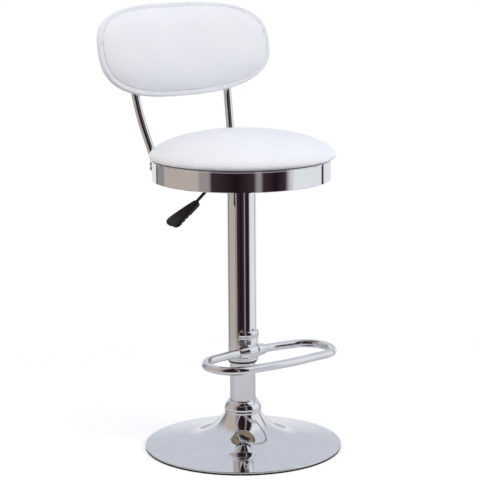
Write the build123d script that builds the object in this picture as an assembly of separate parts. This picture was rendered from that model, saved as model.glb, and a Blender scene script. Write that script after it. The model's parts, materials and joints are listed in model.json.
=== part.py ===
from build123d import *
from math import cos, radians, sin, sqrt, tan
import os

# Adjustable swivel stool on a gas lift. Millimetres, +Z up, origin on the floor under the column,
# front towards -Y and the sitter's left towards +X. The seat is modelled at its lowest height.

# ---- base ----
BASE_R = 192.5          # outer radius of the trumpet base
SHEET = 1.5             # thickness of pressed sheet parts
RIM_Z = 3.5             # underside of the trumpet's rim, on the rubber ring
RIM_TOP_Z = 6.0
NECK_R = 33.5           # straight neck of the trumpet, under the collar
NECK_TOP_Z = 82.0
FLARE_TOP_Z = 72.5      # the flare starts here, steeply
FLARE_R = 112.0         # radius of the flare's arc
FLARE_STEEP = 60.0      # slope at the neck, degrees below level
FLARE_JOINT = 28.0      # slope where the bell is welded to the dish and polished flush
FLARE_SHALLOW = 8.5     # slope where the arc meets the shallow cone
FOOT_RING_IN_R = 184.0
PLATE_Z = 1.7           # underside of the steel cover plate
WEIGHT_Z = 3.4
WEIGHT_TOP_Z = 12.0
WEIGHT_R = 180.0
WEIGHT_HOLE_R = 20.0
RIM_ROUND = 1.2         # edge radius of the trumpet's rim
BOLT_WELL_R = 9.0       # clearance round the flange bolts' heads
BOLT_HEAD_T = 4.0
GAP = 0.3               # assembly gap between fitted shells

# ---- column ----
FLANGE_R = 50.0
FLANGE_T = 6.0
FLANGE_BOLT_PCR = 36.0  # bolt circle radius
STAND_R = 25.0          # lower tube, fixed to the base
STAND_WALL = 2.0
STAND_TOP_Z = 500.0
FLANGE_BOLT_R = 4.0
COLLAR_Z = 72.0
COLLAR_TOP_Z = 95.0
OUTER_R = 28.0          # upper tube, moves with the seat
OUTER_WALL = 1.5
OUTER_Z = 175.5
OUTER_TOP_Z = 520.0
BUSH_Z = 425.0          # the guide bush reaches from here to the top of the stand tube
GUIDE_LIP = 3.5         # lip of the plastic guide ring under the outer tube
GUIDE_IN = 16.0         # how far the guide ring reaches into the outer tube
RUN = 0.05              # radial running clearance of every shaft in its bore

# ---- gas lift ----
ROD_R = 5.0
ROD_Z = 13.0
PISTON_Z = 296.0
PISTON_T = 16.0
CYL_R = 14.0
CYL_IN_R = 11.5
CYL_Z = 48.0
CYL_TAPER_Z = 505.0
CYL_TOP_Z = 535.0
CYL_TOP_R = 13.0
PIN_R = 3.0
PIN_TOP_Z = 544.6
BALL_R = 2.0
BALL_PCR = 8.5
BALL_COUNT = 8
RACE_R = 12.0
RACE_T = 2.0
CLIP_GROOVE = 0.8       # depth of the rod's groove for its clip
CLIP_T = 1.5
STOP_R = 9.0            # outer radius of the rod's collar and clip
BUMPER_R = 11.0
SEAL_Z = PISTON_Z + 6.0
SEAL_TOP_Z = PISTON_Z + 10.0
SEAL_DEPTH = 2.0
GLAND_T = 14.0

# ---- seat ----
RING_R = 171.5
RING_Z = 532.0
RING_TOP_Z = 572.0
RING_T = 1.2
RING_ROLL = 5.0         # the band's foot is rolled inward this far
RING_LIP = 1.2          # bead at the band's top
CLIP_REACH = 22.0       # foot of each angle clip under the board
CLIP_SCREW_IN = 13.0    # clip screws sit this far inside the band
CLIP_SCREW_R = 2.0
BOARD_R = RING_R - RING_T - GAP
BOARD_T = 12.0
BOARD_Z = 559.0
CUSHION_R = 184.5
CUSHION_WIDE_Z = 576.0  # height where the cushion is widest
CUSHION_CROWN = 37.0
CUSHION_POWER = 3.4
COVER_T = 1.5

# ---- mechanism ----
BOX_X = 52.0            # half width of the dropped box
BOX_Y = 34.0
BOX_Z = 523.0
PAN_T = 2.5
FLANGE_X = 88.0         # half width of the mounting flange
FLANGE_Y = 62.0
HUB_R = 17.0
HUB_Z = 508.0
PLATE_BOLT_X = 72.0
PLATE_BOLT_Y = 46.0
PLATE_BOLT_R = 3.0
TEE_BARREL_R = 4.0
TEE_CAP_R = 9.0
LEVER_Z = 548.0
LEVER_R = 3.0
PIVOT_X = -36.0
PIVOT_R = 2.5
EYE_R = 6.0
EYE_HALF = 5.0
BEND_X = -44.6
LEVER_SLOPE = 38.4      # fall of the outer run, degrees
GRIP_X = -109.0         # the rod enters the grip here
GRIP_END_X = -167.0
GRIP_END_Z = 460.0
GRIP_HALF_T = 5.5
ROD_IN_GRIP = 14.0      # how deep the rod reaches into the grip

# ---- footrest ----
TUBE_R = 8.0            # footrest and back posts
TUBE_WALL = 1.5
FOOT_Z = 197.3
FOOT_LEG = (26.0, 28.5)         # a leg leaves the bracket here: sideways, forward
FOOT_BEND = (51.0, 28.5)
FOOT_CORNER = (139.0, 42.5)
FOOT_FRONT = (139.0, 134.8)
FOOT_MID = 146.8                # the front bar's furthest forward point
FOOT_RADIUS = 49.0
BRACKET_R = 31.5
BRACKET_Z = 176.5
BRACKET_TOP_Z = 236.0
BRACKET_HALF = 50.0             # half of the bracket's wrap, degrees
BRACKET_LIP = 12.0              # height of the rounded lip at its top
SOCKET_ROOT = 10.0              # the sleeves start here, sideways, and taper outward
SOCKET_ROOT_R = 13.5
SOCKET_TIP_R = 10.0

# ---- back ----
POST = ((93.5, 153.5, 535.0), (93.5, 153.5, 553.0), (107.5, 183.0, 640.0), (120.0, 218.0, 786.0))
POST_LOW_BEND = 60.0
POST_HIGH_BEND = 500.0
POST_BOLT_Z = (543.0, 552.0)    # bolts through the band into each post's foot
POST_SCREWS = (0.72, 0.93)      # screws into the pad, as fractions of the post's length
SMALL_BOLT_R = 2.5              # bolts and screws at both ends of the posts
BACK_Y = 203.0          # middle of the face between the board and the foam
BACK_Z = 768.5
BACK_LEAN = 14.0
BACK_W = 402.0
BACK_H = 184.0
BACK_POWER = 2.7        # superellipse power of the outline
BACK_PLAN_R = 735.0     # the board curves around the sitter with this radius
BACK_FACE_R = 1600.0    # the padded face is flatter, so the foam thins towards both sides
BACK_BOARD_T = 9.0
BACK_FOAM_T = 24.0
BACK_FOAM_ROUND = 9.0   # rounding of the foam's front edge
BACK_BORDER = 11.0      # width of the stitched border around the crown
BACK_BORDER_T = 4.0     # how far the border stands in front of the board
BACK_REAR_T = 2.0


STANDING = (Align.CENTER, Align.CENTER, Align.MIN)      # a solid that stands on its plane
HANGING = (Align.CENTER, Align.CENTER, Align.MAX)


def outline_solid(points):
    """Solid of revolution about Z from a closed outline of (radius, height) corners."""
    return revolve(Plane.XZ * make_face(Polyline(*points, close=True)), Axis.Z)


def ring(inner, outer, low, high):
    """Plain ring about Z."""
    return outline_solid([(inner, low), (outer, low), (outer, high), (inner, high)])


def disc(radius, low, high, x=0.0, y=0.0):
    """Plain cylinder standing at (x, y)."""
    return Pos(x, y, (low + high) / 2) * Cylinder(radius, high - low)


def block(x0, x1, y0, y1, z0, z1):
    """Box between two corners."""
    return Pos((x0 + x1) / 2, (y0 + y1) / 2, (z0 + z1) / 2) * Box(x1 - x0, y1 - y0, z1 - z0)


def four(x, y):
    """The four corners of a rectangle about the axis."""
    return [(sx * x, sy * y) for sx in (-1, 1) for sy in (-1, 1)]


def around(radius, count, start=0.0):
    """Points evenly spaced on a circle about the axis."""
    step = 360.0 / count
    return [(radius * cos(radians(start + i * step)), radius * sin(radians(start + i * step)))
            for i in range(count)]


# ---------------------------------------------------------------- base

def flare_point(angle, depth):
    """Point of the flare where it falls at the given angle, at a depth under the skin."""
    centre_r = NECK_R + FLARE_R * sin(radians(FLARE_STEEP))
    centre_z = FLARE_TOP_Z + FLARE_R * cos(radians(FLARE_STEEP))
    reach = FLARE_R + depth
    return centre_r - reach * sin(radians(angle)), centre_z - reach * cos(radians(angle))


def flare_arc(depth, steep, shallow):
    """Part of the flare's arc under the skin, from a steep slope to a shallower one."""
    middle = (steep + shallow) / 2
    return ThreePointArc(*[flare_point(angle, depth) for angle in (steep, middle, shallow)])


def cone_height(radius, depth):
    """Height of the shallow cone under the skin."""
    start_r, start_z = flare_point(FLARE_SHALLOW, 0.0)
    slope = (RIM_TOP_Z - start_z) / (BASE_R - start_r)
    return start_z + slope * (radius - start_r) - depth * sqrt(1 + slope * slope)


def base_bell():
    """Neck and upper flare of the base."""
    outer = flare_arc(0.0, FLARE_STEEP, FLARE_JOINT)
    inner = flare_arc(SHEET, FLARE_STEEP, FLARE_JOINT)
    neck_in = NECK_R - SHEET
    skin = [
        Line((NECK_R, NECK_TOP_Z), outer @ 0),
        outer,
        Line(outer @ 1, inner @ 1),
        inner,
        Polyline(inner @ 0, (neck_in, (inner @ 0).Y + SHEET), (neck_in, NECK_TOP_Z),
                 (NECK_R, NECK_TOP_Z)),
    ]
    return revolve(Plane.XZ * make_face(skin), Axis.Z)


def base_dish():
    """Lower flare and shallow cone of the base, down to its rim."""
    outer = flare_arc(0.0, FLARE_JOINT, FLARE_SHALLOW)
    inner = flare_arc(SHEET, FLARE_JOINT, FLARE_SHALLOW)
    rim_z = cone_height(BASE_R - RIM_ROUND, 0.0)
    rim_round = ThreePointArc((BASE_R - RIM_ROUND, rim_z),
                              (BASE_R - RIM_ROUND * 0.3, rim_z - RIM_ROUND * 0.3),
                              (BASE_R, rim_z - RIM_ROUND))
    lip_r = BASE_R - SHEET
    skin = [
        outer,
        Line(outer @ 1, rim_round @ 0),
        rim_round,
        Polyline(rim_round @ 1, (BASE_R, RIM_Z), (lip_r, RIM_Z), (lip_r, cone_height(lip_r, SHEET)),
                 inner @ 1),
        inner,
        Line(inner @ 0, outer @ 0),
    ]
    return revolve(Plane.XZ * make_face(skin), Axis.Z)


def base_foot_ring():
    step_r = BASE_R - SHEET - GAP
    return outline_solid([(FOOT_RING_IN_R, 0), (BASE_R - 0.8, 0), (BASE_R - 0.2, 0.6),
                          (BASE_R - 0.2, RIM_Z), (step_r, RIM_Z), (step_r, RIM_Z + 0.8),
                          (FOOT_RING_IN_R, RIM_Z + 0.8)])


def base_plate():
    plate = disc(FOOT_RING_IN_R - GAP, PLATE_Z, PLATE_Z + SHEET)
    for x, y in around(FLANGE_BOLT_PCR, 4, 45):
        plate -= disc(BOLT_WELL_R, 0, WEIGHT_Z, x, y)
    return plate - disc(RACE_R, 0, WEIGHT_Z)


def base_weight():
    """Cast disc that fills the space under the shallow part of the trumpet."""
    start_r, start_z = flare_point(FLARE_SHALLOW, 0.0)
    drop = SHEET + GAP
    slope = (cone_height(WEIGHT_R, drop) - cone_height(WEIGHT_R - 1, drop))
    edge_r = WEIGHT_R + (WEIGHT_TOP_Z - cone_height(WEIGHT_R, drop)) / slope
    weight = outline_solid([(WEIGHT_HOLE_R, WEIGHT_Z), (WEIGHT_R, WEIGHT_Z),
                            (WEIGHT_R, cone_height(WEIGHT_R, drop)), (edge_r, WEIGHT_TOP_Z),
                            (WEIGHT_HOLE_R, WEIGHT_TOP_Z)])
    for x, y in around(FLANGE_BOLT_PCR, 4, 45):
        weight -= disc(FLANGE_BOLT_R + GAP, 0, WEIGHT_TOP_Z + 1, x, y)
        weight -= disc(BOLT_WELL_R, 0, WEIGHT_Z + BOLT_HEAD_T, x, y)
    return weight


def flange_bolts():
    bolts = []
    for x, y in around(FLANGE_BOLT_PCR, 4, 45):
        head_low = WEIGHT_Z - 0.6
        head_top = WEIGHT_Z + BOLT_HEAD_T
        head = Pos(x, y, head_low) * extrude(RegularPolygon(7.5, 6), head_top - head_low)
        bolts.append(head + disc(FLANGE_BOLT_R, head_top - 0.1, WEIGHT_TOP_Z + FLANGE_T + 4, x, y))
    return Compound(bolts)


def stand_flange():
    top = WEIGHT_TOP_Z + FLANGE_T
    flange = ring(RACE_R, FLANGE_R, WEIGHT_TOP_Z, top)
    for x, y in around(FLANGE_BOLT_PCR, 4, 45):
        flange -= disc(FLANGE_BOLT_R, WEIGHT_TOP_Z - 1, top + 1, x, y)
    return flange


def stand_tube():
    return ring(STAND_R - STAND_WALL, STAND_R, WEIGHT_TOP_Z + FLANGE_T, STAND_TOP_Z)


def base_collar():
    """Bulged trim ring that hides the joint of the tube and the neck."""
    foot_r = NECK_R + 2.2
    top_r = STAND_R + 4.5
    side = ThreePointArc((foot_r, COLLAR_Z + 2.0), (NECK_R + 0.6, (COLLAR_Z + COLLAR_TOP_Z) / 2 + 4.0),
                         (top_r, COLLAR_TOP_Z - 1.5))
    inner_r = NECK_R + 0.2
    step_z = NECK_TOP_Z + 0.5
    profile = [
        side,
        Polyline(side @ 1, (top_r - 1.5, COLLAR_TOP_Z), (STAND_R + GAP, COLLAR_TOP_Z),
                 (STAND_R + GAP, step_z), (inner_r, step_z), (inner_r, COLLAR_Z + 0.9),
                 (foot_r - 0.8, COLLAR_Z - 1.4), (foot_r, COLLAR_Z - 0.6), side @ 0),
    ]
    return revolve(Plane.XZ * make_face(profile), Axis.Z)


def thrust_seat():
    low = WEIGHT_TOP_Z + FLANGE_T
    return ring(ROD_R + RUN, STAND_R - STAND_WALL, low, low + FLANGE_T)


def guide_bush():
    bore = CYL_R + RUN
    return outline_solid([(bore, BUSH_Z), (STAND_R - STAND_WALL, BUSH_Z),
                          (STAND_R - STAND_WALL, STAND_TOP_Z), (STAND_R, STAND_TOP_Z),
                          (STAND_R, STAND_TOP_Z + 3.0), (bore, STAND_TOP_Z + 3.0)])


# ---------------------------------------------------------------- thrust bearing and rod

BEARING_Z = WEIGHT_TOP_Z + 2 * FLANGE_T
BALL_Z = BEARING_Z + RACE_T + BALL_R + 0.02
UPPER_RACE_Z = BALL_Z + BALL_R + 0.02
CLIP_TOP_Z = WEIGHT_TOP_Z + FLANGE_T - GAP


def bearing_lower_race():
    return ring(ROD_R + GAP, RACE_R, BEARING_Z, BEARING_Z + RACE_T)


def bearing_cage():
    cage = ring(ROD_R + GAP, RACE_R - GAP, BALL_Z - 0.8, BALL_Z + 0.8)
    for x, y in around(BALL_PCR, BALL_COUNT):
        cage -= disc(BALL_R + RUN, BALL_Z - 1, BALL_Z + 1, x, y)
    return cage


def bearing_balls():
    return Compound([Pos(x, y, BALL_Z) * Sphere(BALL_R) for x, y in around(BALL_PCR, BALL_COUNT)])


def bearing_upper_race():
    return ring(ROD_R, RACE_R, UPPER_RACE_Z, UPPER_RACE_Z + RACE_T)


def rod_collar():
    low = UPPER_RACE_Z + RACE_T
    return ring(ROD_R, STOP_R, low, low + RACE_T)


def rod_clip():
    return ring(ROD_R - CLIP_GROOVE, STOP_R, CLIP_TOP_Z - CLIP_T, CLIP_TOP_Z)


def piston_rod():
    rod = disc(ROD_R, ROD_Z, PISTON_Z + PISTON_T)
    return rod - ring(ROD_R - CLIP_GROOVE, ROD_R + 1, CLIP_TOP_Z - CLIP_T, CLIP_TOP_Z)


def rod_bumper():
    low = UPPER_RACE_Z + 2 * RACE_T
    return ring(ROD_R, BUMPER_R, low, CYL_Z - 0.5)


def piston():
    body = ring(ROD_R, CYL_IN_R - 0.1, PISTON_Z, PISTON_Z + PISTON_T)
    return body - ring(CYL_IN_R - SEAL_DEPTH, CYL_IN_R + 1, SEAL_Z, SEAL_TOP_Z)


def piston_seal():
    return ring(CYL_IN_R - SEAL_DEPTH, CYL_IN_R - RUN, SEAL_Z, SEAL_TOP_Z)


# ---------------------------------------------------------------- cylinder, outer tube, footrest

def pressure_tube():
    return outline_solid([(CYL_IN_R, CYL_Z), (CYL_R, CYL_Z), (CYL_R, CYL_TAPER_Z), (CYL_TOP_R, CYL_TOP_Z),
                          (CYL_IN_R, CYL_TOP_Z)])


def rod_gland():
    return ring(ROD_R + RUN, CYL_IN_R, CYL_Z + 2.0, CYL_Z + 2.0 + GLAND_T)


def valve_body():
    return ring(PIN_R + RUN, CYL_IN_R, CYL_TAPER_Z, CYL_TOP_Z - 1.0)


def release_pin():
    dome_z = PIN_TOP_Z - PIN_R
    return disc(PIN_R, CYL_TAPER_Z + 8.0, dome_z) + Pos(0, 0, dome_z) * Sphere(PIN_R)


def outer_tube():
    return ring(OUTER_R - OUTER_WALL, OUTER_R, OUTER_Z, OUTER_TOP_Z)


def tube_guide_ring():
    """Plastic ring pressed into the outer tube's mouth, running on the stand tube."""
    bore = STAND_R + RUN
    fit = OUTER_R - OUTER_WALL
    low, high = OUTER_Z - GUIDE_LIP, OUTER_Z + GUIDE_IN
    return outline_solid([(bore, low), (OUTER_R, low), (OUTER_R, OUTER_Z), (fit, OUTER_Z),
                          (fit, high), (bore, high)])


def foot_path(side):
    """Half of the footrest's centreline on one side, as (x, y, z) corners."""
    plan = [FOOT_LEG, FOOT_BEND, FOOT_CORNER, FOOT_FRONT]
    return [(side * s, -f, FOOT_Z) for s, f in plan]


def footrest_loop():
    corners = foot_path(-1) + [(0, -FOOT_MID, FOOT_Z)] + foot_path(1)[::-1]
    bends = [60.0, FOOT_RADIUS, FOOT_RADIUS, 500.0, FOOT_RADIUS, FOOT_RADIUS, 60.0]
    path = FilletPolyline(*corners, radius=bends)
    section = Plane(origin=path @ 0, z_dir=path % 0) * (Circle(TUBE_R) - Circle(TUBE_R - TUBE_WALL))
    return sweep(section, path)


def bracket_shell():
    """Saddle around the front of the tube, with a rounded lip at its top."""
    inner = OUTER_R
    lip = ThreePointArc((BRACKET_R, BRACKET_TOP_Z - BRACKET_LIP),
                        (BRACKET_R + 1.8, BRACKET_TOP_Z - BRACKET_LIP / 2),
                        (BRACKET_R - 0.5, BRACKET_TOP_Z))
    profile = [
        Polyline((inner, BRACKET_TOP_Z), (inner, BRACKET_Z), (BRACKET_R, BRACKET_Z), lip @ 0),
        lip,
        Line(lip @ 1, (inner, BRACKET_TOP_Z)),
    ]
    face = Plane.XZ * make_face(profile)
    turned = Rot(0, 0, -90 - BRACKET_HALF) * face
    return revolve(turned, Axis.Z, revolution_arc=2 * BRACKET_HALF)


def bracket_socket(side):
    """Short sleeve that holds one leg of the footrest."""
    start = Vector(side * SOCKET_ROOT, -FOOT_LEG[1], FOOT_Z)
    return Plane(origin=start, z_dir=(side, 0, 0)) * Cone(SOCKET_ROOT_R, SOCKET_TIP_R, FOOT_LEG[0] - 4.0,
                                                         align=STANDING)


def footrest_bracket():
    bracket = bracket_shell()
    for side in (-1, 1):
        bracket += bracket_socket(side)
    bracket -= disc(OUTER_R, BRACKET_Z - 20, BRACKET_TOP_Z + 20)
    for side in (-1, 1):
        leg = Plane(origin=(side * FOOT_LEG[0], -FOOT_LEG[1], FOOT_Z), z_dir=(side, 0, 0))
        bracket -= leg * Cylinder(TUBE_R, 30.0, align=STANDING)
    return bracket


# ---------------------------------------------------------------- seat mechanism

def seat_plate():
    """Pressed pan: a flange under the board and a dropped box around the valve."""
    flange_z = BOARD_Z - PAN_T
    pan = block(-FLANGE_X, FLANGE_X, -FLANGE_Y, FLANGE_Y, flange_z, BOARD_Z)
    pan = fillet(pan.edges().filter_by(Axis.Z), 14.0)
    pan += block(-BOX_X, BOX_X, -BOX_Y, BOX_Y, BOX_Z, flange_z + 0.1)
    pan -= block(PAN_T - BOX_X, BOX_X - PAN_T, PAN_T - BOX_Y, BOX_Y - PAN_T, BOX_Z + PAN_T, BOARD_Z + 1)
    pan -= disc(HUB_R, BOX_Z - 1, BOX_Z + PAN_T + 1)
    pan -= block(-BOX_X - 1, PAN_T + 1 - BOX_X, -6.0, 6.0, 533.0, 552.5)
    for x, y in four(PLATE_BOLT_X, PLATE_BOLT_Y):
        pan -= disc(PLATE_BOLT_R + GAP, flange_z - 1, BOARD_Z + 1, x, y)
    for side in (-1, 1):
        y0, y1 = sorted((side * (EYE_HALF + 0.6), side * (EYE_HALF + 3.1)))
        ear = block(PIVOT_X - 6, PIVOT_X + 6, y0, y1, BOX_Z + PAN_T - 0.1, LEVER_Z + 5.5)
        pan += ear
    return pan - Pos(PIVOT_X, 0, LEVER_Z) * Rot(90, 0, 0) * Cylinder(PIVOT_R, 40.0)


def seat_hub():
    """Socket welded into the pan, tapered to the top of the pressure tube."""
    taper = (CYL_R - CYL_TOP_R) / (CYL_TOP_Z - CYL_TAPER_Z)
    return outline_solid([(CYL_R - (HUB_Z - CYL_TAPER_Z) * taper, HUB_Z), (HUB_R, HUB_Z),
                          (HUB_R, CYL_TOP_Z), (CYL_TOP_R, CYL_TOP_Z)])


def plate_bolts():
    bolts = []
    for x, y in four(PLATE_BOLT_X, PLATE_BOLT_Y):
        flange_z = BOARD_Z - PAN_T
        washer = disc(6.0, flange_z - 1.2, flange_z, x, y)
        head = Pos(x, y, flange_z - 5.2) * extrude(RegularPolygon(5.5, 6), 4.0)
        bolts.append(head + washer + disc(PLATE_BOLT_R, flange_z - 1.3, BOARD_Z + 9.0, x, y))
    return Compound(bolts)


def plate_nuts():
    """Tee nuts in the board, one for each plate bolt."""
    nuts = []
    top = BOARD_Z + BOARD_T
    for x, y in four(PLATE_BOLT_X, PLATE_BOLT_Y):
        barrel = disc(TEE_BARREL_R, BOARD_Z + 2.0, top, x, y)
        cap = disc(TEE_CAP_R, top, top + 1.2, x, y)
        nuts.append(barrel + cap - disc(PLATE_BOLT_R, BOARD_Z, top + 2, x, y))
    return Compound(nuts)


def lever_pivot_pin():
    half = EYE_HALF + 4.0
    pin = Pos(PIVOT_X, 0, LEVER_Z) * Rot(90, 0, 0) * Cylinder(PIVOT_R, 2 * half)
    return pin + Pos(PIVOT_X, half, LEVER_Z) * Rot(90, 0, 0) * Cylinder(PIVOT_R + 1.2, 1.5)


def lever_rod():
    drop = tan(radians(LEVER_SLOPE))
    tip_x = GRIP_X - ROD_IN_GRIP
    corners = [(3.0, 0, LEVER_Z), (BEND_X, 0, LEVER_Z), (tip_x, 0, LEVER_Z - (BEND_X - tip_x) * drop)]
    path = FilletPolyline(*corners, radius=12.0)
    rod = sweep(Plane(origin=path @ 0, z_dir=path % 0) * Circle(LEVER_R), path)
    eye = Pos(PIVOT_X, 0, LEVER_Z) * Rot(90, 0, 0) * Cylinder(EYE_R, 2 * EYE_HALF)
    bore = Pos(PIVOT_X, 0, LEVER_Z) * Rot(90, 0, 0) * Cylinder(PIVOT_R + RUN, 2 * EYE_HALF + 2)
    return rod + eye - bore


def lever_grip():
    """Flat tapered paddle on the end of the rod."""
    drop = tan(radians(LEVER_SLOPE))
    start = Vector(GRIP_X, 0, LEVER_Z - (BEND_X - GRIP_X) * drop)
    end = Vector(GRIP_END_X, 0, GRIP_END_Z)
    along = (end - start).normalized()
    length = (end - start).length
    across = Vector(0, 1, 0)
    face = Plane(origin=start, x_dir=along, z_dir=along.cross(across))
    plan = Polyline((-2, 6), (4, 9), (length - 10, 18), (length, 10), (length, -10), (length - 10, -18),
                    (4, -9), (-2, -6), close=True)
    paddle = extrude(face * make_face(plan), GRIP_HALF_T, both=True)
    paddle = fillet(paddle.edges().filter_by(GeomType.LINE).group_by(SortBy.LENGTH)[-1], 2.0)
    tip_x = GRIP_X - ROD_IN_GRIP
    tip = Vector(tip_x, 0, LEVER_Z - (BEND_X - tip_x) * drop)
    head = Vector(GRIP_X + 20.0, 0, LEVER_Z - (BEND_X - GRIP_X - 20.0) * drop)
    return paddle - Plane(origin=tip, z_dir=head - tip) * Cylinder(LEVER_R, 60.0, align=STANDING)


# ---------------------------------------------------------------- seat

def post_foot(side):
    """Foot of a post on the band's outside, and the way outward from the column."""
    x, y, _ = POST[0]
    return Vector(side * x, y, 0), Vector(side * x, y, 0).normalized()


def seat_ring():
    """Bright band around the seat: rolled foot, small bead at its top, holes for the post bolts."""
    inner = RING_R - RING_T
    band = outline_solid([(inner - RING_ROLL, RING_Z), (RING_R - 1.0, RING_Z), (RING_R, RING_Z + 1.0),
                          (RING_R, RING_TOP_Z - 3.0), (RING_R + RING_LIP, RING_TOP_Z - 2.0),
                          (RING_R + RING_LIP, RING_TOP_Z - 0.8), (RING_R, RING_TOP_Z),
                          (inner, RING_TOP_Z), (inner, RING_Z + RING_T),
                          (inner - RING_ROLL, RING_Z + RING_T)])
    for side in (-1, 1):
        _, outward = post_foot(side)
        for z in POST_BOLT_Z:
            start = outward * (RING_R - 10.0) + Vector(0, 0, z)
            band -= Plane(origin=start, z_dir=outward) * Cylinder(SMALL_BOLT_R, 40.0)
    return band


def seat_board():
    board = disc(BOARD_R, BOARD_Z, BOARD_Z + BOARD_T)
    for x, y in four(PLATE_BOLT_X, PLATE_BOLT_Y):
        board -= disc(TEE_BARREL_R, BOARD_Z - 1, BOARD_Z + BOARD_T + 1, x, y)
    for x, y in around(BOARD_R - CLIP_SCREW_IN, 4):
        board -= disc(CLIP_SCREW_R, BOARD_Z - 1, BOARD_Z + 8.0, x, y)
    return board


def crown_height(radius, outer, rise):
    """Height of the cushion's crown above its widest line."""
    return rise * sqrt(max(0.0, 1 - (radius / outer) ** CUSHION_POWER))


def crown(outer, rise):
    """Crown line from the middle to the widest point."""
    fractions = (0.0, 0.3, 0.55, 0.75, 0.88, 0.95, 0.985, 1.0)
    points = [(f * outer, CUSHION_WIDE_Z + crown_height(f * outer, outer, rise)) for f in fractions]
    return Spline(*points, tangents=[(1, 0), (0, -1)])


def cushion_solid(inset, floor_z):
    """Crowned round cushion, closed below at floor_z."""
    outer = CUSHION_R - inset
    top = crown(outer, CUSHION_CROWN - inset)
    root_r = BOARD_R - inset
    under = ThreePointArc((outer, CUSHION_WIDE_Z), (outer - 3.4, CUSHION_WIDE_Z - 3.0 + inset * 0.4),
                          (root_r + 3.5, RING_TOP_Z + 0.3 + inset))
    sides = Polyline(under @ 1, (root_r, RING_TOP_Z + 0.3 + inset), (root_r, floor_z), (0, floor_z),
                     top @ 0)
    return revolve(Plane.XZ * make_face([top, under, sides]), Axis.Z)


def post_grooves():
    """Clearance cut where the back posts pass the cushion's edge."""
    cuts = []
    for side in (-1, 1):
        path = post_path(side)
        cuts.append(sweep(Plane(origin=path @ 0, z_dir=path % 0) * Circle(TUBE_R + 0.6), path))
    return cuts


def seat_foam():
    foam = cushion_solid(COVER_T, BOARD_Z + BOARD_T)
    for x, y in four(PLATE_BOLT_X, PLATE_BOLT_Y):
        foam -= disc(TEE_CAP_R + 0.5, BOARD_Z + BOARD_T - 1, BOARD_Z + BOARD_T + 1.6, x, y)
    for cut in post_grooves():
        foam -= cut
    return foam


def seat_cover():
    cover = cushion_solid(0.0, BOARD_Z + BOARD_T + 0.2) - cushion_solid(COVER_T, BOARD_Z + BOARD_T)
    for cut in post_grooves():
        cover -= cut
    return max(cover.solids(), key=lambda solid: solid.volume)


# ---------------------------------------------------------------- back

def post_path(side):
    corners = [(side * x, y, z) for x, y, z in POST]
    return FilletPolyline(*corners, radius=[POST_LOW_BEND, POST_HIGH_BEND])


def back_post(side):
    path = post_path(side)
    section = Plane(origin=path @ 0, z_dir=path % 0) * (Circle(TUBE_R) - Circle(TUBE_R - TUBE_WALL))
    return sweep(section, path)


def post_caps():
    """Plugs in both ends of both posts."""
    caps = []
    for side in (-1, 1):
        path = post_path(side)
        for t, way in ((0, -1), (1, 1)):
            out = (path % t) * way
            mouth = Plane(origin=path @ t, z_dir=out)
            head = mouth * Cylinder(TUBE_R, 2.0, align=STANDING)
            stem = mouth * Cylinder(TUBE_R - TUBE_WALL - RUN, 5.0, align=HANGING)
            caps.append(head + stem)
    return Compound(caps)


def post_bolts():
    """Bolts through the band into the foot of each post, two in each."""
    bolts = []
    for side in (-1, 1):
        foot, outward = post_foot(side)
        for z in POST_BOLT_Z:
            centre = foot + Vector(0, 0, z)
            shank = Plane(origin=centre - outward * 14.0, z_dir=outward)
            bolt = shank * Cylinder(SMALL_BOLT_R, 14.0 + TUBE_R, align=STANDING)
            head = Plane(origin=centre + outward * TUBE_R, z_dir=outward)
            bolts.append(bolt + head * Cylinder(4.2, 3.0, align=STANDING))
    return Compound(bolts)


def post_nut_plates():
    """Threaded plates inside the band, one behind each post's foot."""
    plates = []
    for side in (-1, 1):
        _, outward = post_foot(side)
        middle = outward * (BOARD_R - 2.5) + Vector(0, 0, sum(POST_BOLT_Z) / 2)
        plate = Plane(origin=middle, x_dir=outward, z_dir=(0, 0, 1)) * Box(3.0, 16.0, 20.0)
        for z in POST_BOLT_Z:
            start = outward * (BOARD_R - 20.0) + Vector(0, 0, z)
            plate -= Plane(origin=start, z_dir=outward) * Cylinder(SMALL_BOLT_R, 40.0)
        plates.append(plate)
    return Compound(plates)


def ring_clips():
    """Angle clips that hold the board in the band."""
    clips = []
    for turn in (0, 90, 180, 270):
        wall = block(BOARD_R - CLIP_T, BOARD_R, -10.0, 10.0, BOARD_Z - 16.0, BOARD_Z)
        foot = block(BOARD_R - CLIP_REACH, BOARD_R, -10.0, 10.0, BOARD_Z - CLIP_T, BOARD_Z)
        hole = disc(CLIP_SCREW_R, BOARD_Z - 3, BOARD_Z + 1, BOARD_R - CLIP_SCREW_IN)
        clips.append(Rot(0, 0, turn) * (wall + foot - hole))
    return Compound(clips)


def clip_screws():
    screws = []
    head_top = BOARD_Z - CLIP_T
    for x, y in around(BOARD_R - CLIP_SCREW_IN, 4):
        shank = disc(CLIP_SCREW_R, head_top - 0.1, BOARD_Z + 8.0, x, y)
        screws.append(shank + disc(2 * CLIP_SCREW_R, head_top - 1.8, head_top, x, y))
    return Compound(screws)


def back_plane():
    """Frame of the pad: x across, y up the pad, z towards the sitter."""
    lean = radians(BACK_LEAN)
    return Plane(origin=(0, BACK_Y, BACK_Z), x_dir=(1, 0, 0), z_dir=(0, -cos(lean), sin(lean)))


def oval(inset):
    """Superellipse outline of the pad, moved inward."""
    points = []
    count = 40
    for i in range(count):
        angle = 360.0 * i / count
        c, s = cos(radians(angle)), sin(radians(angle))
        points.append(((BACK_W / 2 - inset) * abs(c) ** (2 / BACK_POWER) * (1 if c >= 0 else -1),
                       (BACK_H / 2 - inset) * abs(s) ** (2 / BACK_POWER) * (1 if s >= 0 else -1)))
    return make_face(Spline(*points, periodic=True))


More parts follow.
